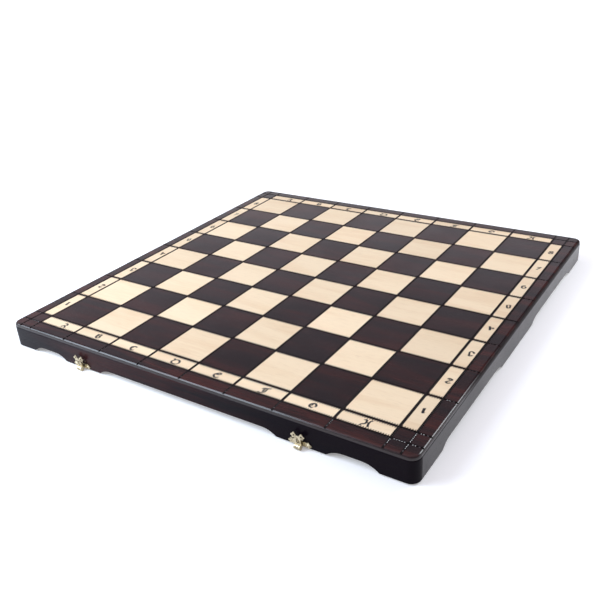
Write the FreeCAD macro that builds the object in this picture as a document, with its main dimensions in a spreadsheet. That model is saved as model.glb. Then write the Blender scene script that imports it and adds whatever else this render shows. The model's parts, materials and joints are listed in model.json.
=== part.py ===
import FreeCAD, Part
import os
import Sketcher
from types import SimpleNamespace

# Folding chess board: two shallow trays joined by hinges at the fold, open and lying on their rims.
# X runs along the files from A to H, Y along the ranks from 1 to 8, Z is up.
# The origin lies under the middle of the fold, level with the lowest point of the hinge barrels.

# Driving dimensions, in millimetres
SIZES = {
    # playing surface
    "square": 55.0,
    "line_width": 2.9,
    "label_band": 16.5,
    "border": 32.2,
    "side_border": 31.0,
    "groove_width": 1.6,
    "groove_depth": 0.7,
    "inlay_thick": 0.8,
    # top panel
    "panel_thick": 4.0,
    "roundover": 3.0,
    "corner_radius": 9.2,
    # walls
    "wall_height": 23.5,
    "wall_thick": 11.0,
    "wall_proud": 0.3,
    "wall_round": 1.2,
    "fold_gap": 0.15,
    "rim_gap": 0.15,
    # scalloped bottom edges
    "long_arch_rise": 5.5,
    "long_arch_end": 15.0,
    "small_arch_rise": 6.3,
    "small_arch_end": 17.0,
    "small_arch": 51.5,
    "corner_foot": 33.8,
    "clasp_foot": 53.0,
    "side_corner_foot": 53.0,
    "fold_foot": 50.0,
    # cloth lining
    "lining_thick": 1.0,
    "lining_margin": 0.5,
    # butt hinges in the rim of the fold walls
    "hinge_offset": 150.0,
    "leaf_length": 30.0,
    "leaf_width": 8.0,
    "leaf_thick": 1.0,
    "barrel_diameter": 3.0,
    "hinge_pin_diameter": 1.6,
    "hinge_knuckle": 10.0,
    "hinge_screw_spacing": 18.0,
    "screw_head_diameter": 3.0,
    "screw_shank_diameter": 1.6,
    "screw_head_depth": 0.7,
    "screw_length": 8.0,
    # hasp clasps and their catches
    "plate_thick": 0.8,
    "plate_width": 15.0,
    "plate_height": 5.2,
    "plate_lift": 0.7,
    "ear_spread": 17.9,
    "ear_lift": 3.2,
    "ear_radius": 2.3,
    "ear_lobe_radius": 0.9,
    "nail_diameter": 1.2,
    "nail_head_diameter": 2.4,
    "nail_head_height": 0.6,
    "nail_length": 7.0,
    "clasp_barrel_diameter": 5.4,
    "clasp_pin_diameter": 1.6,
    "clasp_pin_lift": 1.2,
    "clasp_stand_off": 3.9,
    "lug_width": 1.9,
    "tongue_width": 6.4,
    "tongue_thick": 1.0,
    "tongue_inset": 0.4,
    "tab_reach": 11.6,
    "tab_spread": 8.0,
    "tab_radius": 2.3,
    "tab_lobe_radius": 0.9,
    "tab_hole_diameter": 1.6,
    "slot_reach": 6.2,
    "slot_width": 2.8,
    "slot_length": 3.8,
    "stud_diameter": 2.0,
    # clearances
    "running_clearance": 0.05,
    "free_clearance": 0.35,
    "seat_clearance": 0.1,
    "overrun": 5.0,
}
FILES = 8
HALF_RANKS = FILES // 2
QUARTER_TURN = 90
HALF_TURN = 180
# How far apart two lengths may lie and still count as the same
FUZZ = 1e-4

doc = FreeCAD.newDocument("folding_chess_board")
sheet = doc.addObject("Spreadsheet::Sheet", "sizes")


class Size:
    """A length that carries its number and the expression that binds it to the sheet."""

    def __init__(self, number, text):
        self.number = number
        self.text = text

    def __add__(self, other):
        return Size(self.number + number_of(other), f"({self.text} + {text_of(other)})")

    def __sub__(self, other):
        return Size(self.number - number_of(other), f"({self.text} - {text_of(other)})")

    def __mul__(self, factor):
        return Size(self.number * factor, f"({self.text} * {factor})")

    def __truediv__(self, factor):
        return Size(self.number / factor, f"({self.text} / {factor})")

    def __neg__(self):
        return Size(-self.number, f"(0 - {self.text})")


def number_of(value):
    return value.number if isinstance(value, Size) else value


def text_of(value):
    return value.text if isinstance(value, Size) else str(value)


def fill_sheet():
    named = {}
    for row, (name, value) in enumerate(SIZES.items(), start=1):
        sheet.set(f"A{row}", name)
        sheet.set(f"B{row}", str(value))
        sheet.setAlias(f"B{row}", name)
        named[name] = Size(value, f"sizes.{name}")
    doc.recompute()
    return SimpleNamespace(**named)


s = fill_sheet()
ZERO = s.square * 0

# Levels and faces that several pieces share
field = s.square * HALF_RANKS
panel_front = field + s.border
panel_side = field + s.side_border
wall_front = panel_front + s.wall_proud
wall_side = panel_side + s.wall_proud
label_line = field + s.label_band
barrel_radius = s.barrel_diameter / 2
feet = barrel_radius + s.rim_gap
wall_top = feet + s.wall_height
top = wall_top + s.panel_thick
clasp_x = wall_side - s.corner_foot - s.small_arch - s.clasp_foot / 2


def bind(feature, name, size):
    feature.setExpression(name, text_of(size))


def place(feature, x=ZERO, y=ZERO, z=ZERO):
    for letter, size in zip("xyz", (x, y, z)):
        bind(feature, f"Placement.Base.{letter}", size)


def box(name, low, high):
    """A block between two opposite corners."""
    block = doc.addObject("Part::Box", name)
    for side, a, b in zip(("Length", "Width", "Height"), low, high):
        bind(block, side, b - a)
    place(block, *low)
    return block


UPRIGHT = FreeCAD.Rotation()
ALONG_X = FreeCAD.Rotation(FreeCAD.Vector(0, 1, 0), QUARTER_TURN)
ALONG_Y = FreeCAD.Rotation(FreeCAD.Vector(1, 0, 0), -QUARTER_TURN)


def rod(name, start, length, diameter, direction=UPRIGHT):
    """A round bar from a start point along its direction."""
    bar = doc.addObject("Part::Cylinder", name)
    bind(bar, "Radius", diameter / 2)
    bind(bar, "Height", length)
    bar.Placement.Rotation = direction
    place(bar, *start)
    return bar


def taper(name, start, length, start_diameter, end_diameter, direction=UPRIGHT):
    """A cone frustum from a start point along its direction."""
    cone = doc.addObject("Part::Cone", name)
    bind(cone, "Radius1", start_diameter / 2)
    bind(cone, "Radius2", end_diameter / 2)
    bind(cone, "Height", length)
    cone.Placement.Rotation = direction
    place(cone, *start)
    return cone


def joined(name, shapes):
    fusion = doc.addObject("Part::MultiFuse", name)
    fusion.Shapes = shapes
    fusion.Refine = True
    return fusion


def group(name, shapes):
    compound = doc.addObject("Part::Compound", name)
    compound.Links = shapes
    return compound


def cut(name, base, tools):
    result = doc.addObject("Part::Cut", name)
    result.Base = base
    result.Tool = tools[0] if len(tools) == 1 else group(f"{name}_tools", tools)
    return result


def mirrored(name, source):
    """The left-hand copy of a right-hand piece."""
    copy = doc.addObject("Part::Mirroring", name)
    copy.Source = source
    copy.Normal = FreeCAD.Vector(1, 0, 0)
    return copy


def turned(name, source):
    """The same piece on the other half: half a turn about the middle of the board."""
    copy = group(name, [source])
    copy.Placement.Rotation = FreeCAD.Rotation(FreeCAD.Vector(0, 0, 1), HALF_TURN)
    return copy


def new_body(name, x=ZERO, y=ZERO, z=ZERO):
    body = doc.addObject("PartDesign::Body", name)
    place(body, x, y, z)
    return body


def new_sketch(body, name, plane):
    sketch = body.newObject("Sketcher::SketchObject", name)
    face = next(f for f in body.Origin.OriginFeatures if f.Role == plane)
    sketch.AttachmentSupport = (face, "")
    sketch.MapMode = "FlatFace"
    return sketch


def crown_arc(begin, end):
    """The arc from a foot's corner to a level crown, or back; its centre lies under the crown's end."""
    crown, foot = (begin, end) if begin.y > end.y else (end, begin)
    rise = crown.y - foot.y
    reach = abs(crown.x - foot.x)
    radius = (reach ** 2 + rise ** 2) / (2 * rise)
    circle = Part.Circle(crown - FreeCAD.Vector(0, radius, 0), FreeCAD.Vector(0, 0, 1), radius)
    return Part.ArcOfCircle(circle, circle.parameter(end), circle.parameter(begin))


def is_crown_end(points, arcs, corner):
    """Whether a corner is the upper end of a crown arc, where the outline runs on smoothly."""
    before, after = corner - 1, (corner + 1) % len(points)
    rises = before in arcs and points[before].y < points[corner].y
    falls = corner in arcs and points[after].y < points[corner].y
    return rises or falls


def loop(sketch, corners, arcs=()):
    """Draw a closed outline through corners that are each pinned to the sheet.

    An edge whose number is in arcs is a crown arc, tangent to the straight crown at its upper end.
    """
    points = [FreeCAD.Vector(number_of(x), number_of(y), 0) for x, y in corners]
    count = len(corners)
    first = sketch.GeometryCount
    for edge in range(count):
        begin, end = points[edge], points[(edge + 1) % count]
        sketch.addGeometry(crown_arc(begin, end) if edge in arcs else Part.LineSegment(begin, end))
    for corner in range(count):
        after, before = corner, (corner - 1) % count
        after_end = 2 if after in arcs else 1
        before_end = 1 if before in arcs else 2
        meet = "Tangent" if is_crown_end(points, arcs, corner) else "Coincident"
        sketch.addConstraint(
            Sketcher.Constraint(meet, first + before, before_end, first + after, after_end)
        )
        for kind, point, size in zip(("DistanceX", "DistanceY"), points[corner], corners[corner]):
            pin = Sketcher.Constraint(kind, -1, 1, first + after, after_end, point)
            number = sketch.addConstraint(pin)
            bind(sketch, f"Constraints[{number}]", size)


def pad(body, name, sketch, length, backwards=False):
    feature = body.newObject("PartDesign::Pad", name)
    feature.Profile = sketch
    feature.Reversed = backwards
    bind(feature, "Length", length)
    doc.recompute()
    return feature


def edges_of(feature, wanted):
    return [f"Edge{n}" for n, edge in enumerate(feature.Shape.Edges, start=1) if wanted(edge.BoundBox)]


def near(a, b):
    return abs(a - number_of(b)) < FUZZ


def rounded(body, name, base, edges, radius):
    feature = body.newObject("PartDesign::Fillet", name)
    feature.Base = (base, edges)
    bind(feature, "Radius", radius)
    doc.recompute()
    return feature


def grooves(body, name, plane, reach, places, copies=1, run=ZERO):
    """V grooves pressed into the panel's top, square to a plane, one at each place and its copies."""
    sketch = new_sketch(body, f"{name}_section", plane)
    half = s.groove_width / 2
    for middle in places:
        lip = s.panel_thick
        loop(sketch, [(middle - half, lip), (middle, lip - s.groove_depth), (middle + half, lip)])
    before = body.Tip.Shape.Volume
    pocket = body.newObject("PartDesign::Pocket", name)
    pocket.Profile = sketch
    pocket.SideType = "Symmetric"
    bind(pocket, "Length", (reach + s.overrun) * 2)
    doc.recompute()
    if copies > 1:
        pattern = body.newObject("PartDesign::LinearPattern", f"{name}_row")
        pattern.Originals = [pocket]
        pattern.Direction = (sketch, ["H_Axis"])
        pattern.Occurrences = copies
        bind(pattern, "Length", run)
        body.Tip = pattern
        doc.recompute()
    if body.Tip.Shape.Volume >= before:
        raise RuntimeError(f"{name} cut nothing")


def panel_blank():
    """The half board's top: rounded outer corners, a rounded rim and pressed grid lines."""
    body = new_body("panel_blank", z=wall_top)
    plan = new_sketch(body, "panel_plan", "XY_Plane")
    fold = -s.fold_gap
    near_side = [(-panel_side, -panel_front), (panel_side, -panel_front)]
    loop(plan, near_side + [(panel_side, fold), (-panel_side, fold)])
    board = pad(body, "panel_board", plan, s.panel_thick)
    upright = edges_of(board, lambda b: b.ZLength > FUZZ and near(b.YMax, -panel_front))
    corners = rounded(body, "panel_corners", board, upright, s.corner_radius)
    rim = edges_of(corners, lambda b: near(b.ZMin, s.panel_thick) and not near(b.YMin, fold))
    rounded(body, "panel_rim", corners, rim, s.roundover)
    grooves(body, "file_lines", "XZ_Plane", panel_front, [-field], FILES + 1, field * 2)
    grooves(body, "side_label_lines", "XZ_Plane", panel_front, [-label_line, label_line])
    grooves(body, "rank_lines", "YZ_Plane", panel_side, [-field], HALF_RANKS + 1, field)
    grooves(body, "front_label_line", "YZ_Plane", panel_side, [-label_line])
    return body


def tile(name, low_x, high_x, low_y, high_y):
    """A pale veneer tile, held back from its grid lines by half a line on each side."""
    half = s.line_width / 2
    low = (low_x + half, low_y + half, top - s.inlay_thick)
    return box(name, low, (high_x - half, high_y - half, top))


def pale_squares():
    tiles = []
    for column in range(FILES):
        for rank in range(HALF_RANKS):
            if (column + rank) % 2:
                x = s.square * column - field
                y = s.square * rank - field
                tiles.append(tile(f"square_{column}_{rank}", x, x + s.square, y, y + s.square))
    return group("front_pale_squares", tiles)


def label_tiles():
    tiles = []
    for column in range(FILES):
        x = s.square * column - field
        tiles.append(tile(f"file_label_{column}", x, x + s.square, -label_line, -field))
    for rank in range(HALF_RANKS):
        y = s.square * rank - field
        tiles.append(tile(f"left_rank_label_{rank}", -label_line, -field, y, y + s.square))
        tiles.append(tile(f"right_rank_label_{rank}", field, label_line, y, y + s.square))
    return group("front_label_tiles", tiles)


def arch(start, width, end, rise):
    """Corners of a scallop in a bottom edge: up a crown arc, along the crown and down again."""
    return [
        (start, ZERO),
        (start + end, rise),
        (start + width - end, rise),
        (start + width, ZERO),
    ]


def long_wall():
    """The wall along the near edge, with three scallops between its feet and rounded corners."""
    body = new_body("long_wall", y=-wall_front, z=feet)
    sketch = new_sketch(body, "long_wall_outline", "XZ_Plane")
    left = s.corner_foot - wall_side
    clasp_end = left + s.small_arch + s.clasp_foot
    corners = [(-wall_side, ZERO)]
    corners += arch(left, s.small_arch, s.small_arch_end, s.small_arch_rise)
    corners += arch(clasp_end, -clasp_end * 2, s.long_arch_end, s.long_arch_rise)
    corners += arch(-left - s.small_arch, s.small_arch, s.small_arch_end, s.small_arch_rise)
    corners += [(wall_side, ZERO), (wall_side, s.wall_height), (-wall_side, s.wall_height)]
    loop(sketch, corners, arcs=(1, 3, 5, 7, 9, 11))
    board = pad(body, "long_wall_board", sketch, s.wall_thick, backwards=True)
    upright = edges_of(board, lambda b: near(b.ZLength, s.wall_height) and near(b.YMax, ZERO))
    ends = rounded(body, "long_wall_corners", board, upright, s.corner_radius + s.wall_proud)
    return soften_top(body, ends, lambda b: b.YMin < number_of(s.wall_thick) - FUZZ)


def side_wall():
    """The right-hand wall of the half board, with one scallop, running from the near wall to the fold."""
    body = new_body("front_right_wall", x=wall_side, z=feet)
    sketch = new_sketch(body, "side_wall_outline", "YZ_Plane")
    near_end = s.wall_thick - wall_front
    start = s.side_corner_foot - wall_front
    fold = -s.fold_gap
    corners = [(near_end, ZERO)]
    corners += arch(start, -start - s.fold_foot, s.long_arch_end, s.long_arch_rise)
    corners += [(fold, ZERO), (fold, s.wall_height), (near_end, s.wall_height)]
    loop(sketch, corners, arcs=(1, 3))
    board = pad(body, "side_wall_board", sketch, s.wall_thick, backwards=True)
    return soften_top(body, board, lambda b: near(b.XMin, ZERO) and b.YLength > FUZZ)


def soften_top(body, base, outside):
    """Round the wall's outer top edge, which shows as a bright line under the panel."""
    crest = edges_of(base, lambda b: near(b.ZMin, s.wall_height) and outside(b) and b.ZLength < FUZZ)
    rounded(body, f"{body.Name}_top", base, crest, s.wall_round)
    return body


def hinge_centres():
    return (-s.hinge_offset, s.hinge_offset)


def screw_places():
    """Middle of each screw in a leaf of the front half."""
    middle = -(barrel_radius + s.free_clearance + s.leaf_width / 2)
    half = s.hinge_screw_spacing / 2
    return [(centre + side, middle) for centre in hinge_centres() for side in (-half, half)]


def countersunk_screw(name, x, y, play=ZERO):
    """A screw driven up into the rim, its head flush with the leaf."""
    head = taper(
        f"{name}_head",
        (x, y, feet),
        s.screw_head_depth + play,
        s.screw_head_diameter + play * 2,
        s.screw_shank_diameter + play * 2,
    )
    shank = rod(f"{name}_shank", (x, y, feet), s.screw_length + play, s.screw_shank_diameter + play * 2)
    return joined(name, [head, shank])


def hinge_screws(name, play=ZERO):
    places = enumerate(screw_places())
    return group(name, [countersunk_screw(f"{name}_{n}", x, y, play) for n, (x, y) in places])


def fold_wall(screw_holes):
    """The wall along the fold, mortised for the hinge leaves and relieved round their barrels."""
    inner = wall_side - s.wall_thick
    blank = box(
        "fold_wall_blank",
        (-inner, -s.fold_gap - s.wall_thick, feet),
        (inner, -s.fold_gap, wall_top),
    )
    tools = [screw_holes]
    for side, centre in zip(("left", "right"), hinge_centres()):
        reach = s.leaf_length / 2 + s.seat_clearance
        relief = barrel_radius + s.free_clearance
        low = feet - s.overrun
        tools.append(
            box(
                f"{side}_mortise",
                (centre - reach, -relief - s.leaf_width - s.seat_clearance, low),
                (centre + reach, s.overrun, feet + s.leaf_thick),
            )
        )
        tools.append(
            box(
                f"{side}_barrel_relief",
                (centre - reach, -relief, low),
                (centre + reach, s.overrun, barrel_radius + relief),
            )
        )
    return cut("front_hinge_wall", blank, tools)


def leaf(name, centre, side, knuckles, screw_holes):
    """One hinge leaf in the rim: a plate, the knuckles that roll round the pin, and the pin's bore."""
    reach = s.leaf_length / 2
    inner = barrel_radius + s.free_clearance
    outer = inner + s.leaf_width
    near_y, far_y = (-outer, -inner) if side < 0 else (inner, outer)
    ledge = feet + s.leaf_thick
    solids = [box(f"{name}_plate", (centre - reach, near_y, feet), (centre + reach, far_y, ledge))]
    wrap = s.hinge_pin_diameter / 2 + s.running_clearance * 2
    for n, (start, end) in enumerate(knuckles):
        low_y, high_y = (-inner, -wrap) if side < 0 else (wrap, inner)
        solids.append(box(f"{name}_strap_{n}", (centre + start, low_y, feet), (centre + end, high_y, ledge)))
        axis = (centre + start, ZERO, barrel_radius)
        solids.append(rod(f"{name}_knuckle_{n}", axis, end - start, s.barrel_diameter, ALONG_X))
    bore = rod(
        f"{name}_bore",
        (centre - reach - s.overrun, ZERO, barrel_radius),
        s.leaf_length + s.overrun * 2,
        s.hinge_pin_diameter + s.running_clearance * 2,
        ALONG_X,
    )
    return cut(name, joined(f"{name}_blank", solids), [bore, screw_holes])


def hinges(front_holes, back_holes):
    reach = s.leaf_length / 2
    middle = s.hinge_knuckle / 2
    shy = middle + s.free_clearance
    pieces = []
    for side, centre in zip(("left", "right"), hinge_centres()):
        outer_pair = [(-reach, -shy), (shy, reach)]
        pieces.append(leaf(f"{side}_hinge_front_leaf", centre, -1, outer_pair, front_holes))
        pieces.append(leaf(f"{side}_hinge_back_leaf", centre, 1, [(-middle, middle)], back_holes))
        start = (centre - reach, ZERO, barrel_radius)
        pieces.append(rod(f"{side}_hinge_pin", start, s.leaf_length, s.hinge_pin_diameter, ALONG_X))
    return pieces


# Places of the three lobes round an ear, as shares of its radius: outwards and up
EAR_LOBE_SHARES = ((0.0, 1.0), (1.0, -0.05), (0.35, -0.94))


def ear(name, middle, side, thick, radius, lobe_radius):
    """A round ear with small lobes at its top, its outer side and its foot."""
    x, y, z = middle
    solids = [rod(f"{name}_disc", middle, thick, radius * 2, ALONG_Y)]
    for n, (outwards, up) in enumerate(EAR_LOBE_SHARES):
        start = (x + radius * outwards * side, y, z + radius * up)
        solids.append(rod(f"{name}_lobe_{n}", start, thick, lobe_radius * 2, ALONG_Y))
    return solids


def eared_plate(name, face, outward):
    """A stamped plate on a wall: a middle web and a lobed ear on each side, bored for nails."""
    low_y, high_y = (face, face + s.plate_thick) if outward > 0 else (face - s.plate_thick, face)
    base = feet + s.plate_lift
    half = s.plate_width / 2
    web_top = (clasp_x + half, high_y, base + s.plate_height)
    solids = [box(f"{name}_web", (clasp_x - half, low_y, base), web_top)]
    holes = []
    for n, (ear_x, side) in enumerate(zip(ear_places(), (-1, 1))):
        middle = (ear_x, low_y, feet + s.ear_lift)
        solids += ear(f"{name}_ear_{n}", middle, side, s.plate_thick, s.ear_radius, s.ear_lobe_radius)
        start = (ear_x, low_y - s.overrun, feet + s.ear_lift)
        bore = s.nail_diameter + s.seat_clearance * 2
        holes.append(rod(f"{name}_nail_hole_{n}", start, s.overrun * 2 + s.plate_thick, bore, ALONG_Y))
    return joined(f"{name}_stamping", solids), holes


def ear_places():
    half = s.ear_spread / 2
    return (clasp_x - half, clasp_x + half)


def nail(name, x, face, outward, play=ZERO):
    """A domed nail through an ear into the wall behind it."""
    shank_d = s.nail_diameter + play * 2
    surface = face + s.plate_thick if outward > 0 else face - s.plate_thick
    tip = face - s.nail_length - play if outward > 0 else face
    reach = s.nail_length + s.plate_thick + play
    start_y = tip if outward > 0 else surface
    shank = rod(f"{name}_shank", (x, start_y, feet + s.ear_lift), reach, shank_d, ALONG_Y)
    rim, crown = s.nail_head_diameter, s.nail_diameter
    if outward > 0:
        head = taper(f"{name}_head", (x, surface, feet + s.ear_lift), s.nail_head_height, rim, crown, ALONG_Y)
    else:
        start = (x, surface - s.nail_head_height, feet + s.ear_lift)
        head = taper(f"{name}_head", start, s.nail_head_height, crown, rim, ALONG_Y)
    return joined(name, [shank, head])


def nails(name, face, outward, play=ZERO):
    places = (*ear_places(), *(-x for x in ear_places()))
    return group(name, [nail(f"{name}_{n}", x, face, outward, play) for n, x in enumerate(places)])


clasp_y = -wall_front - s.clasp_stand_off
clasp_z = feet + s.clasp_pin_lift
clasp_barrel = s.clasp_barrel_diameter / 2


def clasp_bore(name):
    reach = s.tongue_width / 2 + s.overrun
    start = (clasp_x - reach, clasp_y, clasp_z)
    return rod(name, start, reach * 2, s.clasp_pin_diameter + s.running_clearance * 2, ALONG_X)


def clasp_plate():
    """The clasp's eared plate with a lug that comes forward from it and rolls round the pin."""
    stamping, holes = eared_plate("clasp_plate", -wall_front, -1)
    half = s.lug_width / 2
    arm = box(
        "lug_arm",
        (clasp_x - half, clasp_y, clasp_z),
        (clasp_x + half, -wall_front, clasp_z + clasp_barrel),
    )
    eye = rod("lug_eye", (clasp_x - half, clasp_y, clasp_z), s.lug_width, s.clasp_barrel_diameter, ALONG_X)
    holes.append(clasp_bore("clasp_plate_bore"))
    return cut("right_clasp_plate", joined("clasp_plate_blank", [stamping, arm, eye]), holes)


def clasp_pin():
    start = (clasp_x - s.tongue_width / 2, clasp_y, clasp_z)
    return rod("right_clasp_pin", start, s.tongue_width, s.clasp_pin_diameter, ALONG_X)


def clasp_tongue():
    """The flip-up tongue: a knuckle each side of the lug, a slotted strip and a finger tab of two ears."""
    half = s.tongue_width / 2
    inner = s.lug_width / 2 + s.free_clearance
    front = clasp_y + s.tongue_inset - s.tongue_thick / 2
    back = front + s.tongue_thick
    tab_z = clasp_z + s.tab_reach
    solids = [box("tongue_strip", (clasp_x - half, front, clasp_z), (clasp_x + half, back, tab_z))]
    reach = clasp_barrel + s.free_clearance
    holes = [
        clasp_bore("tongue_bore"),
        box(
            "lug_window",
            (clasp_x - inner, front - s.overrun, clasp_z - reach),
            (clasp_x + inner, back + s.overrun, clasp_z + reach),
        ),
    ]
    for n, (side, start) in enumerate(((-1, clasp_x - half), (1, clasp_x + inner))):
        axis = (start, clasp_y, clasp_z)
        solids.append(rod(f"tongue_knuckle_{n}", axis, half - inner, s.clasp_barrel_diameter, ALONG_X))
        lobe_x = clasp_x + s.tab_spread / 2 * side
        middle = (lobe_x, front, tab_z)
        solids += ear(f"tab_ear_{n}", middle, side, s.tongue_thick, s.tab_radius, s.tab_lobe_radius)
        hole = (lobe_x, front - s.overrun, tab_z)
        through = s.tongue_thick + s.overrun * 2
        holes.append(rod(f"tab_hole_{n}", hole, through, s.tab_hole_diameter, ALONG_Y))
    slot_z = clasp_z + s.slot_reach
    holes.append(
        box(
            "tongue_slot",
            (clasp_x - s.slot_width / 2, front - s.overrun, slot_z - s.slot_length / 2),
            (clasp_x + s.slot_width / 2, back + s.overrun, slot_z + s.slot_length / 2),
        )
    )
    return cut("right_clasp_tongue", joined("tongue_blank", solids), holes)


def catch_plate():
    """The catch on the far wall: the same eared plate with a stud that enters the tongue's slot."""
    stamping, holes = eared_plate("catch_plate", wall_front, 1)
    # Folding carries the far wall under the near one, turned about the hinge pins' axis
    stud_z = barrel_radius * 2 - (clasp_z - s.slot_reach)
    length = s.clasp_stand_off + clasp_barrel
    stud = rod("catch_stud", (clasp_x, wall_front, stud_z), length, s.stud_diameter, ALONG_Y)
    return cut("right_catch_plate", joined("catch_plate_blank", [stamping, stud]), holes)


def lining():
    inner_x = wall_side - s.wall_thick - s.lining_margin
    near_y = s.wall_thick + s.lining_margin - wall_front
    far_y = -s.fold_gap - s.wall_thick - s.lining_margin
    return box("front_lining", (-inner_x, near_y, wall_top - s.lining_thick), (inner_x, far_y, wall_top))


def front_half():
    squares = pale_squares()
    labels = label_tiles()
    panel = cut("front_panel", panel_blank(), [squares, labels])
    right_wall = side_wall()
    screw_holes = hinge_screws("screw_holes", s.seat_clearance)
    nail_holes = nails("clasp_nail_holes", -wall_front, -1, s.seat_clearance)
    wall = cut("front_clasp_wall", long_wall(), [nail_holes])
    pieces = [panel, squares, labels, wall, right_wall, mirrored("front_left_wall", right_wall)]
    pieces += [fold_wall(screw_holes), lining(), hinge_screws("front_hinge_screws")]
    return pieces, screw_holes


def back_half(front):
    """Most of the far half repeats the near one, turned about the board's middle."""
    names = {piece.Name: piece for piece in front}
    pairs = {
        "back_panel": "front_panel",
        "back_pale_squares": "front_pale_squares",
        "back_label_tiles": "front_label_tiles",
        "back_catch_wall": "front_clasp_wall",
        "back_hinge_wall": "front_hinge_wall",
        "back_left_wall": "front_right_wall",
        "back_right_wall": "front_left_wall",
        "back_lining": "front_lining",
        "back_hinge_screws": "front_hinge_screws",
    }
    return [turned(name, names[source]) for name, source in pairs.items()]


def clasps():
    pieces = [nails("clasp_nails", -wall_front, -1), nails("catch_nails", wall_front, 1)]
    for piece in (clasp_plate(), clasp_pin(), clasp_tongue(), catch_plate()):
        pieces.append(piece)
        pieces.append(mirrored(piece.Name.replace("right_", "left_"), piece))
    return pieces


def check(pieces):
    """Stop on any failed feature and on any piece that is not a valid solid."""
    for feature in doc.Objects:
        if {"Invalid", "Error"} & set(feature.State):
            raise RuntimeError(f"{feature.Name} failed: {feature.State}")
    for piece in pieces:
        if piece.Shape.isNull() or not piece.Shape.isValid() or not piece.Shape.Solids:
            raise RuntimeError(f"{piece.Name} is not a valid solid")


def main():
    front, screw_holes = front_half()
    far_holes = turned("far_screw_holes", screw_holes)
    pieces = front + back_half(front) + hinges(screw_holes, far_holes) + clasps()
    doc.recompute()
    check(pieces)
    os.makedirs("parts", exist_ok=True)
    for piece in pieces:
        piece.Label = piece.Name
        piece.Shape.exportStep(f"parts/{piece.Name}.step")
        count = len(piece.Shape.Solids)
        print(f"{piece.Name}: {count} solid(s), {piece.Shape.Volume:.1f} mm3")


main()
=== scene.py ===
"""Finishes the folding chess board, burns its lines and labels, and sets it on a pale stage."""

import json
import math

import bmesh
import bpy
from bpy.props import FloatProperty, FloatVectorProperty, PointerProperty
from mathutils import Euler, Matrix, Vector


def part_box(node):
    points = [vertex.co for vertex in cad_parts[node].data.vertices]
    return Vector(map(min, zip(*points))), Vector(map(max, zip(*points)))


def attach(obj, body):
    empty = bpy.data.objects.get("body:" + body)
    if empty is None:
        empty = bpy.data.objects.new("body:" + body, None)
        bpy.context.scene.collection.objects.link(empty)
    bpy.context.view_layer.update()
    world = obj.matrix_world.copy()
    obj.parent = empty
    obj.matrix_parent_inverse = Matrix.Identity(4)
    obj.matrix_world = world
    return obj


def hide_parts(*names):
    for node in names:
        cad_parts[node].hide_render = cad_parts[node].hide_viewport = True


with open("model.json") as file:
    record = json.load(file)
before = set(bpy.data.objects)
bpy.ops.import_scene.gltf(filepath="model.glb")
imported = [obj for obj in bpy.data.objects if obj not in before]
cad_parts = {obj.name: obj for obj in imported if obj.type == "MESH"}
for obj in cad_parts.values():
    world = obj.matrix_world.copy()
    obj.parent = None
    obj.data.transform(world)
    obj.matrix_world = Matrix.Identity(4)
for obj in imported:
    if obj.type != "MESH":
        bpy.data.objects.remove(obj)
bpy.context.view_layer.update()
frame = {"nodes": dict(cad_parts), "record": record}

bl_info = {
    "name": "Folding Chess Board",
    "version": (1, 0, 0),
    "blender": (4, 5, 0),
    "location": "View3D > Sidebar > Chess Board",
    "description": "Finishes the folding chess board and sets it on a pale stage",
    "category": "Object",
}

# The frame's own sizes, in metres
PANEL_LOW, PANEL_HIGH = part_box("front_panel")
PALE_LOW, PALE_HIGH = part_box("front_pale_squares")
TILE_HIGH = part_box("front_label_tiles")[1]
TOP = PANEL_HIGH.z

# The grid: squares of the field, then the band of label tiles round it
FILES = 8
HALF_FILES = FILES // 2
LETTERS = "ABCDEFGH"
LINE_WIDTH = 0.0029
SQUARE = (PALE_HIGH.x - PALE_LOW.x + LINE_WIDTH) / FILES
FIELD_EDGE = SQUARE * HALF_FILES
LABEL_BAND = TILE_HIGH.x - FIELD_EDGE + LINE_WIDTH / 2
BAND_EDGE = FIELD_EDGE + LABEL_BAND

# Refractive index of each lacquer
PANEL_LACQUER, LONG_WALL_LACQUER, SIDE_WALL_LACQUER = 1.46, 1.16, 1.33

# Strength of the red stain, as a share of its strength on the border of a panel, and at the rim the
# painted shade that takes most of it away
FIELD_RED = 0.67  # on the field
RIM_RED_UNDER_SHADE = 0.1  # at the rounded rim of a panel, darkened as painted shade where the left softbox lights it strongly
WALL_RED = 0.06  # on the walls, but for one place where the stain is thin
# Where that strength changes, in metres
RIM_SHADE_DROP = 0.0015  # fall of the rim over which the red fades into that painted shade
THIN_STAIN = -0.07  # x of the thin place
THIN_NEAR, THIN_FAR = 0.06, 0.2  # distances from it between which the red fades

# Where the lacquer is cut back as painted shade, in metres, and how much of it is left or lost
WALL_SHADE_FROM, WALL_SHADE_TO, WALL_SHADE_KEEP = 0.02, 0.13, 0.45  # along the x of the long walls, darker towards their right ends
SIDE_RIM_SHADE, SIDE_RIM_SHADE_SOFT, SIDE_RIM_SHADE_LOST = 0.0036, 0.00072, 0.9  # over the width of the side rims, whose lacquer is taken off as painted shade
SIDE_RIM_SHADE_FROM, SIDE_RIM_SHADE_TO = -0.17, -0.1  # the y over which that painted shade begins

# How the hot wheel burns the lines, in metres
BURN = 0.95  # strength of the burnt colour
LINE_FADE = 0.0004  # drop below the groove's floor over which a line ends at the rim
SCORCH_INSET = 0.0003  # how far the scorch keeps inside the edge of a line
SCORCH_TOOTH = 0.0018  # how far its teeth reach out from there
TOOTH_ALONG_X, TOOTH_ALONG_Y = 1.0, 0.25  # share of a tooth's length beside the lines along each axis

# Length of the ridges in a groove and of those at its ends, in tooth pitches
RIDGE_LENGTH, END_LENGTH = 0.45, 0.7
# How far the brims of both and the tops of all lie below the panel, in groove depths
RIDGE_BRIM, END_BRIM = 0.45, 0.25
RIDGE_DROP = 0.05
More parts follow.
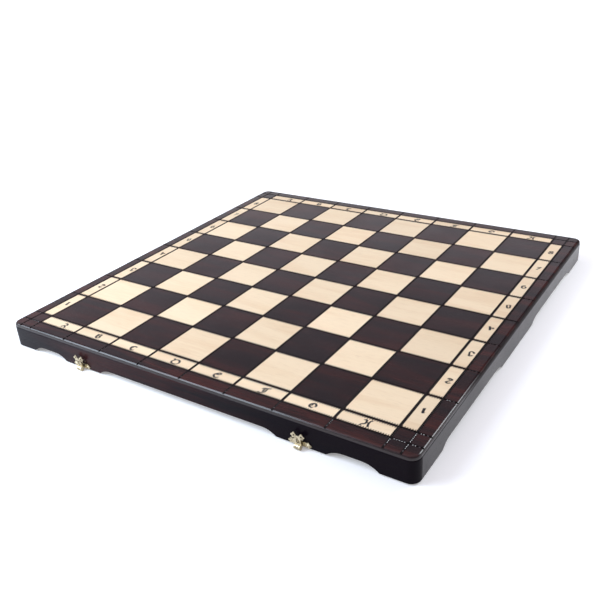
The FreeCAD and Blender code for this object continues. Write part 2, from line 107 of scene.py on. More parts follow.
# How far the rows of ridges stay from the rim and from the fold, in metres
RIM_MARGIN, FOLD_MARGIN = 0.0048, 0.002
# The felt's cells along and across a tray, and the slack and ripple of its open face, in thicknesses
FELT_CELLS = (60, 30)
FELT_SLACK, FELT_RIPPLE = 0.12, 0.1
# Colours of the pores and the scorched edges of the pale wood, in linear light
PALE_PORE = (0.45, 0.29, 0.16)
SCORCHED = (0.03, 0.013, 0.008)
# How far apart the grain of two tiles can be taken from the same plank, in metres
TILE_SHIFT = (0.3, 0.3, 0.0)
# Width over which the edges of the brass are rubbed clean, in metres
RUBBED_EDGE = 0.0005
# Distances from the middle between which the floor turns plain white, in metres
FLOOR_NEAR, FLOOR_FAR = 0.35, 0.9

# Each half, and the side of the fold on which it lies
HALVES = {"front": -1, "back": 1}
LONG_WALLS = ("front_clasp_wall", "front_hinge_wall", "back_catch_wall", "back_hinge_wall")
SIDE_WALLS = ("front_left_wall", "front_right_wall", "back_left_wall", "back_right_wall")


class BoardSizes(bpy.types.PropertyGroup):
    """Sizes of what is pressed, burnt and laid on the board."""

    line_width: FloatProperty(
        name="Line Width", description="Width of the dark lines between the tiles",
        default=LINE_WIDTH, unit="LENGTH", precision=4)
    tooth_pitch: FloatProperty(
        name="Tooth Pitch", description="Step of the toothed wheel that pressed the lines",
        default=0.0024, unit="LENGTH", precision=4)
    groove_width: FloatProperty(
        name="Groove Width", description="Width of the pressed groove at the surface",
        default=0.0016, unit="LENGTH", precision=4)
    groove_depth: FloatProperty(
        name="Groove Depth", description="Depth of the pressed groove",
        default=0.0007, unit="LENGTH", precision=4)
    letter_height: FloatProperty(
        name="Letter Height", description="Height of the burnt letters",
        default=0.0087, unit="LENGTH", precision=4)
    digit_height: FloatProperty(
        name="Digit Height", description="Height of the burnt digits",
        default=0.0084, unit="LENGTH", precision=4)
    ink_depth: FloatProperty(
        name="Ink Thickness", description="Thickness of the burnt labels on the tiles",
        default=0.00002, unit="LENGTH", precision=5)


class BoardColours(bpy.types.PropertyGroup):
    """Colours of the finishes, in linear light."""

    stain_deep: FloatVectorProperty(
        name="Deep Stain", description="Darkest tone of the stained panels",
        default=(0.009, 0.0045, 0.0055), subtype="COLOR", min=0, max=1)
    stain_red: FloatVectorProperty(
        name="Red Stain", description="Warm tone that shows through the stain of the panels",
        default=(0.06, 0.012, 0.009), subtype="COLOR", min=0, max=1)
    wall_deep: FloatVectorProperty(
        name="Deep Wall Stain", description="Darkest tone of the stained walls",
        default=(0.003, 0.002, 0.0045), subtype="COLOR", min=0, max=1)
    wall_red: FloatVectorProperty(
        name="Red Wall Stain", description="Warm tone that shows through the stain of the walls",
        default=(0.04, 0.01, 0.01), subtype="COLOR", min=0, max=1)
    burnt: FloatVectorProperty(
        name="Burnt Line", description="Colour of the burnt lines and labels",
        default=(0.006, 0.004, 0.004), subtype="COLOR", min=0, max=1)
    pale_light: FloatVectorProperty(
        name="Pale Wood", description="Lightest tone of the pale wood",
        default=(0.87, 0.69, 0.465), subtype="COLOR", min=0, max=1)
    pale_dark: FloatVectorProperty(
        name="Pale Grain", description="Tone of the grain in the pale wood",
        default=(0.74, 0.51, 0.3), subtype="COLOR", min=0, max=1)
    brass: FloatVectorProperty(
        name="Brass", description="Clean brass of the clasps and hinges",
        default=(0.68, 0.6, 0.42), subtype="COLOR", min=0, max=1)
    tarnish: FloatVectorProperty(
        name="Tarnish", description="Dull brown film on the brass",
        default=(0.13, 0.09, 0.045), subtype="COLOR", min=0, max=1)
    felt: FloatVectorProperty(
        name="Felt", description="Colour of the tray linings",
        default=(0.03, 0.1, 0.055), subtype="COLOR", min=0, max=1)


class StageSettings(bpy.types.PropertyGroup):
    """The floor, the lamps and the camera."""

    floor_size: FloatProperty(
        name="Floor Size", description="Side of the square floor", default=16.0, unit="LENGTH")
    floor_white: FloatProperty(
        name="Floor White", description="Plain white that is added to what is seen of the floor",
        default=0.27, subtype="FACTOR", min=0, max=1)
    lens: FloatProperty(
        name="Lens", description="Focal length of the camera, in millimetres", default=43.77)
    camera_place: FloatVectorProperty(
        name="Camera Place", description="Where the camera stands",
        default=(0.440, -0.674, 0.4076), subtype="TRANSLATION")
    camera_turn: FloatVectorProperty(
        name="Camera Turn", description="How the camera is turned",
        default=tuple(math.radians(a) for a in (63.084, 3.382, 32.871)), subtype="EULER")
    overhead_power: FloatProperty(
        name="Overhead Power", description="Power of the large lamp above the board, in watts",
        default=1.0)
    left_power: FloatProperty(
        name="Left Power", description="Power of the tall softbox at the left, in watts",
        default=32.0)
    back_power: FloatProperty(
        name="Back Power", description="Power of the softbox behind the right corner, in watts",
        default=9.0)


class NodeBook:
    """Adds nodes to one node tree and joins their sockets."""

    def __init__(self, tree):
        self.tree = tree

    def add(self, kind, **settings):
        node = self.tree.nodes.new(kind)
        for name, value in settings.items():
            setattr(node, name, value)
        return node

    def feed(self, socket, value):
        """Joins a socket to another one, or sets the socket's own value."""
        if isinstance(value, bpy.types.NodeSocket):
            self.tree.links.new(value, socket)
        elif socket.type == "RGBA" and len(value) == 3:
            socket.default_value = (*value, 1.0)
        else:
            socket.default_value = value

    def math(self, operation, *values):
        node = self.add("ShaderNodeMath", operation=operation)
        for socket, value in zip(node.inputs, values):
            self.feed(socket, value)
        return node.outputs[0]

    def weighed(self, *terms, start=0.0):
        """The start plus each value times its weight."""
        total = start
        for value, weight in terms:
            total = self.math("MULTIPLY_ADD", value, weight, total)
        return total

    def lessen(self, value, mask, share):
        """The value, less that share of itself where the mask is one."""
        return self.math("MULTIPLY", value, self.weighed((mask, -share), start=1.0))

    def vector(self, operation, *values):
        node = self.add("ShaderNodeVectorMath", operation=operation)
        for socket, value in zip(node.inputs, values):
            self.feed(socket, value)
        return node.outputs[0]

    def parts(self, vector):
        node = self.add("ShaderNodeSeparateXYZ")
        self.feed(node.inputs[0], vector)
        return node.outputs

    def joined(self, x, y, z):
        node = self.add("ShaderNodeCombineXYZ")
        for socket, value in zip(node.inputs, (x, y, z)):
            self.feed(socket, value)
        return node.outputs[0]

    def ramp(self, value, low, high, start=0.0, end=1.0):
        """Start below low, end above high, and a smooth change between."""
        node = self.add("ShaderNodeMapRange", interpolation_type="SMOOTHSTEP")
        for socket, number in zip(node.inputs, (value, low, high, start, end)):
            self.feed(socket, number)
        return node.outputs[0]

    def noise(self, vector, scale, detail=2.0, roughness=0.5, distortion=0.0):
        node = self.add("ShaderNodeTexNoise")
        wanted = {"Vector": vector, "Scale": scale, "Detail": detail, "Roughness": roughness,
                  "Distortion": distortion}
        for name, value in wanted.items():
            self.feed(node.inputs[name], value)
        return node.outputs[0]

    def mix(self, factor, first, second, way="MIX"):
        node = self.add("ShaderNodeMix", data_type="RGBA", blend_type=way)
        for index, value in ((0, factor), (6, first), (7, second)):
            self.feed(node.inputs[index], value)
        return node.outputs[2]

    def bump(self, height, distance, strength):
        node = self.add("ShaderNodeBump")
        for name, value in {"Height": height, "Distance": distance, "Strength": strength}.items():
            self.feed(node.inputs[name], value)
        return node.outputs[0]

    def use(self, group, **values):
        """Places a shared node group, with values for its inputs by name."""
        node = self.add("ShaderNodeGroup", node_tree=group)
        for name, value in values.items():
            self.feed(node.inputs[name.replace("_", " ").title()], value)
        return node.outputs


def shared_group(name, numbers, masks):
    """A new shader node group, from a position and numbers to masks: its book, inputs and outputs."""
    group = bpy.data.node_groups.new(name, "ShaderNodeTree")
    group.interface.new_socket("Position", in_out="INPUT", socket_type="NodeSocketVector")
    for number in numbers:
        group.interface.new_socket(number, in_out="INPUT", socket_type="NodeSocketFloat")
    for mask in masks:
        group.interface.new_socket(mask, in_out="OUTPUT", socket_type="NodeSocketFloat")
    book = NodeBook(group)
    return book, book.add("NodeGroupInput").outputs, book.add("NodeGroupOutput").inputs


def wood_grain():
    """Long fibres, a broad figure and short pores, all along the X axis of the given position."""
    name = "Wood Grain"
    if name in bpy.data.node_groups:
        return bpy.data.node_groups[name]
    numbers = ("Fibre Scale", "Figure Scale")
    book, given, out = shared_group(name, numbers, ("Fibre", "Figure", "Pores"))
    long_way = book.vector("MULTIPLY", given["Position"], (0.035, 1.0, 1.0))
    broad_way = book.vector("MULTIPLY", given["Position"], (0.14, 1.0, 1.0))
    pore_way = book.vector("MULTIPLY", given["Position"], (0.08, 1.0, 1.0))
    fibre = book.noise(long_way, given["Fibre Scale"], detail=4.0, roughness=0.65)
    figure = book.noise(broad_way, given["Figure Scale"], detail=3.0, roughness=0.55, distortion=0.6)
    pores = book.noise(pore_way, book.math("MULTIPLY", given["Fibre Scale"], 1.7), detail=1.0)
    book.feed(out["Fibre"], fibre)
    book.feed(out["Figure"], book.ramp(figure, 0.32, 0.7))
    book.feed(out["Pores"], book.ramp(pores, 0.6, 0.7))
    return bpy.data.node_groups[name]


def grid_lines():
    """Where the pressed lines of the board run, with the teeth along their edges."""
    name = "Grid Lines"
    if name in bpy.data.node_groups:
        return bpy.data.node_groups[name]
    numbers = ("Half Width", "Softness", "Tooth Depth", "Tooth Pitch")
    book, given, out = shared_group(name, numbers, ("Line",))
    x, y, _ = book.parts(given["Position"])
    half_pitch = book.math("MULTIPLY", given["Tooth Pitch"], 0.5)
    lines = []
    for this, other, share in ((x, y, TOOTH_ALONG_Y), (y, x, TOOTH_ALONG_X)):
        to_square = book.math("PINGPONG", this, SQUARE / 2)
        beyond = book.math("SUBTRACT", book.math("ABSOLUTE", this), BAND_EDGE)
        distance = book.math("MINIMUM", to_square, book.math("ABSOLUTE", beyond))
        step = book.math("DIVIDE", book.math("PINGPONG", other, half_pitch), half_pitch)
        tooth = book.math("MULTIPLY", book.ramp(step, 0.25, 0.75), share)
        reach = book.math("MULTIPLY_ADD", tooth, given["Tooth Depth"], given["Half Width"])
        outside = book.math("SUBTRACT", distance, reach)
        lines.append(book.ramp(outside, 0.0, given["Softness"], start=1.0, end=0.0))
    book.feed(out["Line"], book.math("MAXIMUM", *lines))
    return bpy.data.node_groups[name]


def hand_marks():
    """Soft smudges and fine scuffs that handling leaves in a finish."""
    name = "Hand Marks"
    if name in bpy.data.node_groups:
        return bpy.data.node_groups[name]
    book, given, out = shared_group(name, ("Smudge Scale",), ("Smudge", "Scuff"))
    smudge = book.noise(given["Position"], given["Smudge Scale"], detail=3.0, roughness=0.6)
    streaks = book.vector("MULTIPLY", given["Position"], (1.0, 0.15, 1.0))
    scuff = book.noise(streaks, book.math("MULTIPLY", given["Smudge Scale"], 40.0), detail=2.0)
    book.feed(out["Smudge"], book.ramp(smudge, 0.35, 0.7))
    book.feed(out["Scuff"], book.ramp(scuff, 0.6, 0.75))
    return bpy.data.node_groups[name]


def new_material(name, **constants):
    """A material, the book of its nodes and its one shader, whose constants are set by name."""
    material = bpy.data.materials.new(name)
    material.use_nodes = True
    tree = material.node_tree
    tree.nodes.clear()
    book = NodeBook(tree)
    shader = book.add("ShaderNodeBsdfPrincipled")
    output = book.add("ShaderNodeOutputMaterial")
    book.feed(output.inputs["Surface"], shader.outputs[0])
    for socket, value in constants.items():
        book.feed(shader.inputs[socket.replace("_", " ")], value)
    return material, book, shader


def toned(colour, share):
    """The colour made darker or lighter by a share."""
    return tuple(min(1.0, share * c) for c in colour)


def object_position(book):
    """The place in the frame, as every node and piece sits at the origin."""
    return book.add("ShaderNodeTexCoord").outputs["Object"]


def panel_red_and_rim_shade(book, x, y, z):
    """How far the red shows on a panel: most on the border, and hardly at the rounded rim, where the
    lost red is painted shade.
    """
    outward = book.math("MAXIMUM", book.math("ABSOLUTE", x), book.math("ABSOLUTE", y))
    border = book.math("GREATER_THAN", outward, BAND_EDGE)
    share = book.weighed((border, 1.0 - FIELD_RED), start=FIELD_RED)
    # The rim's loss of red is painted shade, darkening the rounded rim that the left softbox lights
    # strongly
    return book.math("MULTIPLY", share, book.ramp(z, TOP - RIM_SHADE_DROP, TOP, start=RIM_RED_UNDER_SHADE))


def wall_red(book, x):
    """How far the red shows on a wall: most where the stain is thin."""
    from_thin = book.math("ABSOLUTE", book.math("SUBTRACT", x, THIN_STAIN))
    return book.ramp(from_thin, THIN_NEAR, THIN_FAR, start=1.0, end=WALL_RED)


def panel_line(book, position, z):
    """The burnt lines of a panel, which stop where the rounded rim falls away under the grooves."""
    sizes = bpy.context.scene.board_sizes
    pressed = book.use(
        grid_lines(), position=position, half_width=sizes.groove_width / 2, softness=0.0005,
        tooth_depth=0.0002, tooth_pitch=sizes.tooth_pitch)
    groove_floor = TOP - sizes.groove_depth
    level = book.ramp(z, groove_floor - LINE_FADE, groove_floor - LINE_FADE / 4)
    return book.math("MULTIPLY", pressed["Line"], level)


def shaded_side_rims(book, x, y):
    """The side rims of a panel, but not near the front corners, where the lacquer is taken off as
    painted shade.
    """
    inner = PANEL_HIGH.x - SIDE_RIM_SHADE
    side = book.ramp(book.math("ABSOLUTE", x), inner, inner + SIDE_RIM_SHADE_SOFT)
    return book.math("MULTIPLY", side, book.ramp(y, SIDE_RIM_SHADE_FROM, SIDE_RIM_SHADE_TO))


def stained_wood(name, tones, lacquer, along="X", lines=False):
    """Dark wood stained in two tones under a lacquer, for walls or, with burnt lines, for panels."""
    burnt = bpy.context.scene.board_colours.burnt
    material, book, shader = new_material(
        name, Specular_IOR_Level=0.02, Coat_IOR=lacquer, Coat_Roughness=0.22)
    position = object_position(book)
    x, y, z = book.parts(position)
    grain_place = position if along == "X" else book.joined(y, x, z)
    grain = book.use(wood_grain(), position=grain_place, fibre_scale=900.0, figure_scale=55.0)
    marks = book.use(hand_marks(), position=position, smudge_scale=14.0)
    red = book.ramp(book.weighed((grain["Figure"], 0.4), (grain["Fibre"], 0.55)), 0.2, 0.95)
    red = book.math("MULTIPLY", red, panel_red_and_rim_shade(book, x, y, z) if lines else wall_red(book, x))
    colour = book.mix(red, *tones)
    colour = book.mix(book.math("MULTIPLY", grain["Pores"], 0.6), colour, burnt)
    coat = book.weighed((marks["Smudge"], -0.12), (marks["Scuff"], -0.1), start=1.0)
    if lines:
        line = panel_line(book, position, z)
        colour = book.mix(book.math("MULTIPLY", line, BURN), colour, burnt)
        coat = book.lessen(coat, line, BURN)
        # Taking the lacquer off the side rims is painted shade: it keeps them dark, as if they
        # reflected a dark surround
        coat = book.lessen(coat, shaded_side_rims(book, x, y), SIDE_RIM_SHADE_LOST)
    elif along == "X":
        # Cutting the long walls' lacquer towards their right ends is painted shade: they reflect less,
        # as if the floor before them lay in shadow
        coat = book.math("MULTIPLY", coat, book.ramp(x, WALL_SHADE_FROM, WALL_SHADE_TO, start=1.0, end=WALL_SHADE_KEEP))
    height = book.weighed((grain["Fibre"], 0.5), (grain["Pores"], -0.5))
    book.feed(shader.inputs["Base Color"], colour)
    book.feed(shader.inputs["Roughness"], book.weighed((marks["Smudge"], 0.1), start=0.4))
    book.feed(shader.inputs["Coat Weight"], coat)
    book.feed(shader.inputs["Normal"], book.bump(height, distance=0.0002, strength=0.35))
    return material


def pale_wood():
    """Pale wood of the tiles: fine grain, each tile a little different, scorched at its edges."""
    sizes = bpy.context.scene.board_sizes
    colours = bpy.context.scene.board_colours
    material, book, shader = new_material("pale_wood")
    position = object_position(book)
    cell = book.vector("FLOOR", book.vector("DIVIDE", position, (SQUARE, SQUARE, 1.0)))
    chance = book.add("ShaderNodeTexWhiteNoise", noise_dimensions="3D")
    book.feed(chance.inputs["Vector"], cell)
    shift = book.vector("MULTIPLY", chance.outputs["Color"], TILE_SHIFT)
    grain_place = book.vector("ADD", position, shift)
    grain = book.use(wood_grain(), position=grain_place, fibre_scale=700.0, figure_scale=45.0)
    marks = book.use(hand_marks(), position=position, smudge_scale=11.0)
    veil = book.weighed((grain["Figure"], 0.3), (grain["Fibre"], 0.5))
    colour = book.mix(book.ramp(veil, 0.2, 0.95), colours.pale_light, colours.pale_dark)
    colour = book.mix(book.math("MULTIPLY", grain["Pores"], 0.16), colour, PALE_PORE)
    tone = book.weighed((chance.outputs["Value"], 0.12), start=0.92)
    colour = book.mix(1.0, colour, book.joined(tone, tone, tone), way="MULTIPLY")
    scorch = book.use(
        grid_lines(), position=position, half_width=sizes.line_width / 2 - SCORCH_INSET,
        softness=0.0002, tooth_depth=SCORCH_TOOTH, tooth_pitch=sizes.tooth_pitch)
    colour = book.mix(book.math("MULTIPLY", scorch["Line"], BURN), colour, SCORCHED)
    height = book.weighed((grain["Fibre"], 0.4), (grain["Pores"], -0.6))
    book.feed(shader.inputs["Base Color"], colour)
    book.feed(shader.inputs["Roughness"], book.weighed((marks["Smudge"], 0.1), start=0.33))
    book.feed(shader.inputs["Normal"], book.bump(height, distance=0.00015, strength=0.3))
    return material


def aged_brass():
    """Pale brass, bright where it is handled and brown where dirt stays."""
    colours = bpy.context.scene.board_colours
    material, book, shader = new_material("aged_brass", Metallic=1.0)
    position = object_position(book)
    marks = book.use(hand_marks(), position=position, smudge_scale=260.0)
    soft = book.add("ShaderNodeBevel", samples=6)
    book.feed(soft.inputs["Radius"], RUBBED_EDGE)
    plain = book.add("ShaderNodeNewGeometry").outputs["Normal"]
    same = book.add("ShaderNodeVectorMath", operation="DOT_PRODUCT")
    book.feed(same.inputs[0], soft.outputs[0])
    book.feed(same.inputs[1], plain)
    edge = book.ramp(same.outputs["Value"], 0.8, 0.99, start=1.0, end=0.0)
    film = book.lessen(marks["Smudge"], edge, 0.8)
    colour = book.mix(book.math("MULTIPLY", film, 0.75), colours.brass, colours.tarnish)
    rough = book.weighed((film, 0.25), (marks["Scuff"], 0.12), start=0.24)
    book.feed(shader.inputs["Base Color"], colour)
    book.feed(shader.inputs["Roughness"], rough)
    book.feed(shader.inputs["Normal"], book.bump(marks["Scuff"], distance=0.00005, strength=0.3))
    return material


def felt_cloth():
    """Short matted felt."""
    colours = bpy.context.scene.board_colours
    material, book, shader = new_material(
        "green_felt", Sheen_Weight=0.5, Sheen_Roughness=0.4, Specular_IOR_Level=0.15, Roughness=0.95)
    position = object_position(book)
    fuzz = book.noise(position, 2600.0, detail=3.0, roughness=0.7)
    patches = book.noise(position, 60.0, detail=2.0)
    tone = book.ramp(book.weighed((patches, 0.25), (fuzz, 0.9)), 0.35, 0.85)
    colour = book.mix(tone, toned(colours.felt, 0.45), toned(colours.felt, 1.6))
    book.feed(shader.inputs["Base Color"], colour)
    book.feed(shader.inputs["Normal"], book.bump(fuzz, distance=0.0006, strength=0.7))
    return material


def burnt_ink():
    """Wood burnt black-brown, a little uneven."""
    colours = bpy.context.scene.board_colours
    material, book, shader = new_material("burnt_ink")
    position = object_position(book)
    blotch = book.noise(position, 900.0, detail=3.0, roughness=0.6)
    colour = book.mix(book.ramp(blotch, 0.45, 0.8), colours.burnt, toned(colours.burnt, 3.5))
    book.feed(shader.inputs["Base Color"], colour)
    book.feed(shader.inputs["Roughness"], book.ramp(blotch, 0.3, 0.7, start=0.4, end=0.6))
    return material


def pressed_ridge():
    """Wood that the hot wheel pressed hard: burnt dull between the tiles, shiny on the dark border."""
    colours = bpy.context.scene.board_colours
    material, book, shader = new_material(
        "pressed_ridge", Roughness=0.4, Specular_IOR_Level=0.15, Coat_IOR=2.0, Coat_Roughness=0.1)
    position = object_position(book)
    x, y, _ = book.parts(position)
    from_middle = book.math("ABSOLUTE", x), book.math("ABSOLUTE", y)
    corner = book.math("GREATER_THAN", book.math("MINIMUM", *from_middle), FIELD_EDGE + LINE_WIDTH / 2)
    border = book.math("GREATER_THAN", book.math("MAXIMUM", *from_middle), BAND_EDGE + LINE_WIDTH / 2)
    sheen = book.noise(position, 700.0, detail=2.0)
    colour = book.mix(sheen, colours.burnt, toned(colours.stain_deep, 2.5))
    book.feed(shader.inputs["Base Color"], colour)
    book.feed(shader.inputs["Coat Weight"], book.math("MAXIMUM", corner, border))
    return material


def dress(nodes, material):
    """Gives CAD nodes a finish, keeping their meshes."""
    for node in nodes:
        slots = frame["nodes"][node].data.materials
        slots.clear()
        slots.append(material)


def shown_mesh(name, mesh, material, body):
    """A new piece of the board from a finished bmesh, riding on a body."""
    data = bpy.data.meshes.new(name)
    mesh.to_mesh(data)
    mesh.free()
    data.materials.append(material)
    piece = bpy.data.objects.new(name, data)
    bpy.context.scene.collection.objects.link(piece)
    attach(piece, body)
    return piece


class FinishDarkWood(bpy.types.Operator):
    """Stain and lacquer the panels and the walls."""

    bl_idname = "chess_board.finish_dark_wood"
    bl_label = "Finish Dark Wood"

    def execute(self, context):
        colours = context.scene.board_colours
        panel_tones = (colours.stain_deep, colours.stain_red)
        wall_tones = (colours.wall_deep, colours.wall_red)
        panel = stained_wood("stained_panel", panel_tones, PANEL_LACQUER, lines=True)
        dress(("front_panel", "back_panel"), panel)
        dress(LONG_WALLS, stained_wood("stained_long_wall", wall_tones, LONG_WALL_LACQUER))
        dress(SIDE_WALLS, stained_wood("stained_side_wall", wall_tones, SIDE_WALL_LACQUER, along="Y"))
        return {"FINISHED"}


class FinishPaleWood(bpy.types.Operator):
    """Finish the pale squares and the label tiles."""

    bl_idname = "chess_board.finish_pale_wood"
    bl_label = "Finish Pale Wood"

    def execute(self, context):
        tiles = [f"{half}_{kind}" for half in HALVES for kind in ("pale_squares", "label_tiles")]
        dress(tiles, pale_wood())
        return {"FINISHED"}


class FinishBrass(bpy.types.Operator):
    """Finish the clasps, the catches, the hinges and their fixings."""

    bl_idname = "chess_board.finish_brass"
    bl_label = "Finish Brass"

    def execute(self, context):
        slots = {row["node"]: row["material_slot"] for row in frame["record"]["subparts"]}
        dress([node for node, slot in slots.items() if slot == "brass"], aged_brass())
        return {"FINISHED"}


def ridge(mesh, centre, along, across, sizes, length=RIDGE_LENGTH, brim=RIDGE_BRIM):
    """One ridge that the toothed wheel left: a low pyramid on a keel that fits the groove."""
    up = Vector((0.0, 0.0, 1.0))
    half = sizes.groove_width / 2 * (1.0 - brim)
    apex = mesh.verts.new(centre - up * (RIDGE_DROP * sizes.groove_depth))
    rim, keel = [], []
    for end in (-0.5, 0.5):
        middle = centre + along * (end * length * sizes.tooth_pitch)
        low = middle - up * (brim * sizes.groove_depth)
        rim.append([mesh.verts.new(low + across * (half * side)) for side in (-1, 1)])
        keel.append(mesh.verts.new(middle - up * sizes.groove_depth))
    (a, b), (c, d) = rim
    slopes = ((apex, a, b), (apex, b, d), (apex, d, c), (apex, c, a))
    sides = ((a, keel[0], b), (d, keel[1], c), (b, keel[0], keel[1], d), (c, keel[1], keel[0], a))
    for loop in (*slopes, *sides):
        mesh.faces.new(loop)


def line_places():
    """Where the pressed lines cross an axis: at the squares' edges and outside the label band."""
    edges = [SQUARE * n for n in range(-HALF_FILES, HALF_FILES + 1)]
    return [-BAND_EDGE, *edges, BAND_EDGE]


def between_lines(place, sizes):
    """Whether a ridge at this place along its own line stays clear of the lines that cross it."""
    return all(abs(place - line) > sizes.groove_width for line in line_places())


class PressLines(bpy.types.Operator):
    """Leave the ridges of the toothed wheel standing in the grooves of each panel."""

    bl_idname = "chess_board.press_lines"
    bl_label = "Press Lines"

    def execute(self, context):
        sizes = context.scene.board_sizes
        shiny = pressed_ridge()
        for half, sign in HALVES.items():
            mesh = bmesh.new()
            for x in line_places():
                self.press_along_y(mesh, x, sign, sizes)
            for y in line_places():
                if y * sign > 0:
                    self.press_along_x(mesh, y, sizes)
            bmesh.ops.recalc_face_normals(mesh, faces=mesh.faces)
            shown_mesh(f"{half}_line_ridges", mesh, shiny, f"{half}_half")
        return {"FINISHED"}

    def press_along_y(self, mesh, x, sign, sizes):
        """A row from the fold to the near or far rim, and the ridge at its end."""
        along, across = Vector((0, 1, 0)), Vector((1, 0, 0))
        pitch = sizes.tooth_pitch
        end = -PANEL_LOW.y - RIM_MARGIN
        for n in range(int((end - FOLD_MARGIN) / pitch) - 1):
            y = FOLD_MARGIN + pitch * (n + 0.5)
            if between_lines(y, sizes):
                ridge(mesh, Vector((x, sign * y, TOP)), along, across, sizes)
        ridge(mesh, Vector((x, sign * end, TOP)), along, across, sizes, END_LENGTH, END_BRIM)

    def press_along_x(self, mesh, y, sizes):
        """A row from side rim to side rim, and the ridges at its ends."""
        along, across = Vector((1, 0, 0)), Vector((0, 1, 0))
        pitch = sizes.tooth_pitch
        end = PANEL_HIGH.x - RIM_MARGIN
        for n in range(int(2 * end / pitch) - 2):
            x = -end + pitch * (n + 1.5)
            if between_lines(x, sizes):
                ridge(mesh, Vector((x, y, TOP)), along, across, sizes)
        for x in (-end, end):
            ridge(mesh, Vector((x, y, TOP)), along, across, sizes, END_LENGTH, END_BRIM)


# Strokes of a broad pen, as points on a letter one high, which a smooth line passes through
STROKES = {
    "A": [
        [(0.2, 0.73), (0.36, 0.87), (0.56, 0.82), (0.78, 0.5)],
        [(0.57, 0.41), (0.68, 0.2), (0.87, -0.04)],
        [(0.65, 0.39), (0.41, 0.38), (0.2, 0.25)],
        [(0.13, 0.17), (0.32, 0.01)],
    ],
    "B": [
        [(0.08, 0.84), (0.2, 0.74), (0.2, 0.44), (0.34, 0.12)],
        [(0.34, 0.84), (0.34, 0.5), (0.36, 0.12)],
        [(0.44, 0.84), (0.66, 0.87), (0.72, 0.68), (0.52, 0.55)],
        [(0.54, 0.55), (0.75, 0.42), (0.85, 0.22), (0.62, 0.05), (0.36, 0.1)],
    ],
    "C": [
        [(0.2, 0.72), (0.11, 0.44), (0.24, 0.14), (0.54, -0.05), (0.82, 0.08)],
        [(0.34, 0.74), (0.33, 0.5), (0.32, 0.3)],
        [(0.22, 0.68), (0.5, 0.77), (0.8, 0.66)],
    ],
    "D": [
        [(-0.05, 0.88), (0.14, 0.74), (0.34, 0.72)],
        [(0.3, 0.72), (0.62, 0.82), (0.86, 0.7), (1.06, 0.4), (0.94, 0.0)],
        [(0.26, 0.68), (0.1, 0.45), (0.0, 0.24), (0.24, -0.04)],
        [(0.24, -0.04), (0.6, -0.08), (0.94, 0.0)],
    ],
    "E": [
        [(0.78, 0.58), (0.79, 0.76), (0.58, 0.88), (0.33, 0.71), (0.1, 0.37), (0.26, 0.07),
         (0.53, -0.07), (0.9, 0.11)],
        [(0.28, 0.47), (0.48, 0.5), (0.76, 0.58)],
        [(0.43, 0.74), (0.38, 0.48)],
    ],
    "F": [
        [(0.11, 0.49), (0.3, 0.69), (0.61, 0.78), (1.04, 0.9)],
        [(0.72, 0.78), (0.67, 0.47), (0.71, 0.18), (0.52, -0.08)],
        [(0.42, 0.65), (0.41, 0.33), (0.47, 0.07)],
        [(0.53, -0.06), (0.35, -0.18), (0.14, -0.2), (-0.04, -0.08)],
    ],
    "G": [
        [(0.58, 0.86), (0.4, 0.82), (0.2, 0.63), (0.12, 0.42), (0.24, 0.19), (0.48, 0.09),
         (0.66, 0.16)],
        [(0.56, 0.86), (0.74, 0.71), (0.86, 0.5), (0.78, 0.3)],
        [(0.42, 0.76), (0.37, 0.56), (0.36, 0.38)],
    ],
    "H": [
        [(0.06, 0.82), (0.22, 0.95), (0.36, 0.8), (0.37, 0.52), (0.38, 0.28)],
        [(0.4, 0.3), (0.18, 0.2), (0.04, 0.06), (0.02, -0.14)],
        [(0.94, 1.06), (0.74, 0.9), (0.7, 0.52), (0.76, 0.2), (0.86, -0.04)],
        [(0.37, 0.52), (0.7, 0.6)],
    ],
    "1": [
        [(0.34, 0.9), (0.42, 0.5), (0.48, 0.08)],
        [(0.44, 0.94), (0.5, 0.52), (0.56, 0.06)],
        [(0.5, 0.06), (0.74, 0.17)],
    ],
    "2": [
        [(0.2, 0.88), (0.5, 1.0), (0.78, 0.84), (0.56, 0.54), (0.26, 0.2)],
        [(0.3, 0.84), (0.58, 0.84)],
        [(0.26, 0.2), (0.52, 0.02), (0.8, 0.22)],
    ],
    "3": [
        [(0.24, 0.84), (0.5, 0.97), (0.7, 0.88), (0.87, 0.66)],
        [(0.26, 0.84), (0.33, 0.5), (0.44, 0.12)],
        [(0.34, 0.12), (0.57, -0.06), (0.84, 0.2)],
    ],
    "4": [
        [(0.2, 0.95), (0.38, 0.48), (0.52, 0.0)],
        [(0.28, 0.9), (0.46, 0.46), (0.58, 0.04)],
        [(0.46, 0.52), (0.74, 0.72), (0.8, 0.46)],
    ],
    "5": [
        [(0.24, 0.86), (0.34, 0.48), (0.5, 0.08)],
        [(0.4, 0.96), (0.66, 0.92), (0.72, 0.6), (0.78, 0.22), (0.5, 0.04)],
    ],
    "6": [
        [(0.62, 0.98), (0.28, 0.74), (0.28, 0.28), (0.52, 0.02), (0.8, 0.26), (0.66, 0.58),
         (0.34, 0.46)],
    ],
    "7": [
        [(0.22, 0.9), (0.44, 0.84), (0.7, 0.96), (0.54, 0.5), (0.34, 0.04)],
    ],
    "8": [
        [(0.52, 0.53), (0.26, 0.76), (0.5, 0.97), (0.76, 0.76), (0.52, 0.53), (0.22, 0.26),
         (0.5, 0.03), (0.8, 0.26), (0.52, 0.53)],
    ],
}
# How far the hand that burnt each label missed the middle of its tile, as shares of the label's height
SLIPS = {
    "A": (0.58, -0.01), "B": (0.38, -0.01), "C": (0.16, -0.02), "D": (0.52, -0.02),
    "E": (0.34, 0.0), "F": (0.46, 0.04), "G": (0.2, 0.03), "H": (0.12, -0.02),
    "1": (0.04, 0.39), "2": (0.14, 0.15), "3": (0.16, 0.1), "4": (0.14, 0.24),
    "5": (0.13, 0.15), "6": (0.12, 0.05), "7": (0.12, 0.12), "8": (0.08, -0.14),
}
